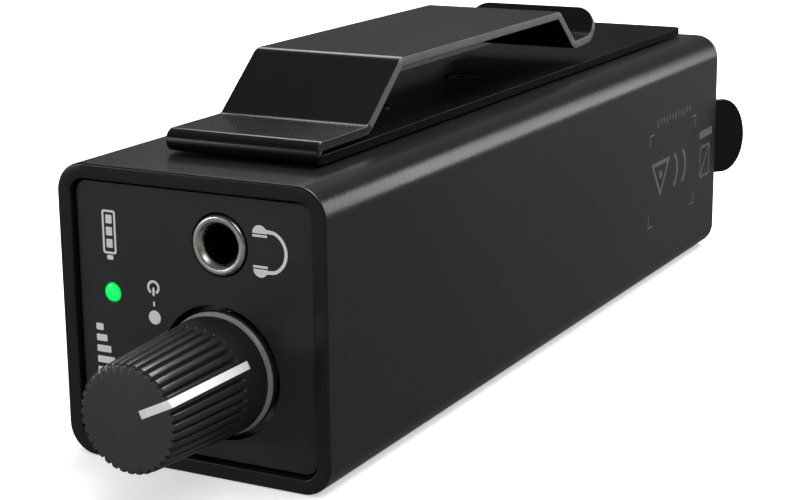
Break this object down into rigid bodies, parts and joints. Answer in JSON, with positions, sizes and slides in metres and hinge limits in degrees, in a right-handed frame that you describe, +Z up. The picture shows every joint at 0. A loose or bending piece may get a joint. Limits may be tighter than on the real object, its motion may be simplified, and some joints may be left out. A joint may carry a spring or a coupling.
{
  "type": "belt-pack headphone amplifier",
  "caption": "Square black tube with a fluted volume knob, phones socket and power light in front, a latching plug socket behind and a folded spring belt clip on top.",
  "frame": {"origin": "centre of the tube's flat underside, halfway along its length", "axes": "+Y along the tube from the knob end to the rear socket, +Z up through the belt clip, +X across to the right"},
  "size_m": [0.0341, 0.1339, 0.0396],
  "materials": {
    "housing": "satin black powder coat on extruded aluminium",
    "front_panel": "matte black anodised plate",
    "front_bracket": "zinc-plated steel, unseen",
    "rear_panel": "matte black anodised plate",
    "pot_nut": "nickel-plated",
    "pot_washer": "plain steel",
    "pot_bushing": "threaded brass",
    "pot_body": "pressed steel case",
    "pot_switch": "black switch case",
    "jack_nose": "bright nickel",
    "jack_body": "black moulding",
    "jack_contact_sleeve": "tinned spring bronze",
    "jack_contact_ring": "tinned spring bronze",
    "jack_contact_tip": "tinned spring bronze",
    "led_lens": "lit green light pipe",
    "led_body": "green-tinted epoxy",
    "led_holder": "black",
    "front_board": "green circuit board",
    "main_board": "green circuit board",
    "board_link": "black header",
    "amp_chip": "black epoxy",
    "regulator_chip": "black epoxy",
    "capacitor_1": "dark blue sleeve",
    "capacitor_2": "dark blue sleeve",
    "capacitor_3": "dark blue sleeve",
    "choke": "ferrite",
    "battery_tray": "black moulding",
    "battery_1": "plain dark wrap, no marks",
    "battery_2": "plain dark wrap, no marks",
    "contact_bridge": "nickel-plated spring steel",
    "contact_plate_positive": "nickel-plated spring steel",
    "contact_plate_negative": "nickel-plated spring steel",
    "contact_spring_1": "nickel-plated spring steel",
    "contact_spring_2": "nickel-plated spring steel",
    "mode_switch_body": "black",
    "socket_shell": "black moulding",
    "socket_insert": "black moulding",
    "socket_back": "black moulding",
    "pin_contact_1": "gold-tinted brass",
    "pin_contact_2": "gold-tinted brass",
    "pin_contact_3": "gold-tinted brass",
    "plug_contact_tip": "tinned spring bronze",
    "plug_contact_ring": "tinned spring bronze",
    "plug_contact_sleeve": "tinned spring bronze",
    "latch_pin": "steel",
    "clip_base": "satin black spring steel",
    "clip_screw_1": "blackened steel",
    "clip_screw_2": "blackened steel",
    "clip_nut_1": "zinc-plated",
    "clip_nut_2": "zinc-plated",
    "knob": "dark grey moulded plastic",
    "knob_pointer": "white inlaid line",
    "knob_ring": "glossy black lower edge",
    "pot_shaft": "turned",
    "switch_cam": "nylon",
    "clip_leaf": "satin black spring steel",
    "latch_lever": "satin black",
    "battery_door": "satin black",
    "mode_switch_lever": "white"
  },
  "bodies": {
    "housing_body": {"housing": "housing", "front_panel": "front_panel", "front_bracket": "front_bracket", "rear_panel": "rear_panel", "pot_nut": "pot_nut", "pot_washer": "pot_washer", "pot_bushing": "pot_bushing", "pot_body": "pot_body", "pot_switch": "pot_switch", "jack_nose": "jack_nose", "jack_body": "jack_body", "jack_contact_sleeve": "jack_contact_sleeve", "jack_contact_ring": "jack_contact_ring", "jack_contact_tip": "jack_contact_tip", "led_lens": "led_lens", "led_body": "led_body", "led_holder": "led_holder", "front_board": "front_board", "main_board": "main_board", "board_link": "board_link", "amp_chip": "amp_chip", "regulator_chip": "regulator_chip", "capacitor_1": "capacitor_1", "capacitor_2": "capacitor_2", "capacitor_3": "capacitor_3", "choke": "choke", "battery_tray": "battery_tray", "battery_1": "battery_1", "battery_2": "battery_2", "contact_bridge": "contact_bridge", "contact_plate_positive": "contact_plate_positive", "contact_plate_negative": "contact_plate_negative", "contact_spring_1": "contact_spring_1", "contact_spring_2": "contact_spring_2", "mode_switch_body": "mode_switch_body", "socket_shell": "socket_shell", "socket_insert": "socket_insert", "socket_back": "socket_back", "pin_contact_1": "pin_contact_1", "pin_contact_2": "pin_contact_2", "pin_contact_3": "pin_contact_3", "plug_contact_tip": "plug_contact_tip", "plug_contact_ring": "plug_contact_ring", "plug_contact_sleeve": "plug_contact_sleeve", "latch_pin": "latch_pin", "clip_base": "clip_base", "clip_screw_1": "clip_screw_1", "clip_screw_2": "clip_screw_2", "clip_nut_1": "clip_nut_1", "clip_nut_2": "clip_nut_2"},
    "volume_knob": {"knob": "knob", "knob_pointer": "knob_pointer", "knob_ring": "knob_ring", "pot_shaft": "pot_shaft", "switch_cam": "switch_cam"},
    "clip_spring": {"clip_leaf": "clip_leaf"},
    "latch": {"latch_lever": "latch_lever"},
    "battery_cover": {"battery_door": "battery_door"},
    "mode_lever": {"mode_switch_lever": "mode_switch_lever"}
  },
  "joints": [
    {"name": "volume", "type": "hinge", "parent": "housing_body", "child": "volume_knob", "pos_m": [0.0028, -0.0565, 0.01095], "axis": [0, 1, 0], "range_deg": [-123, 175]},
    {"name": "clip_flex", "type": "hinge", "parent": "housing_body", "child": "clip_spring", "pos_m": [0, -0.04735, 0.0331], "axis": [1, 0, 0], "range_deg": [-1.2, 7], "stiffness_Nm_per_rad": 6},
    {"name": "latch_press", "type": "hinge", "parent": "housing_body", "child": "latch", "pos_m": [0.0124, 0.05, 0.0155], "axis": [0, 0, 1], "range_deg": [0, 5], "stiffness_Nm_per_rad": 0.2},
    {"name": "battery_cover_off", "type": "slide", "parent": "housing_body", "child": "battery_cover", "axis": [-1, 0, 0], "range_m": [0, 0.015]},
    {"name": "mode_slide", "type": "slide", "parent": "housing_body", "child": "mode_lever", "axis": [0, 0, 1], "range_m": [0, 0.002]}
  ]
}
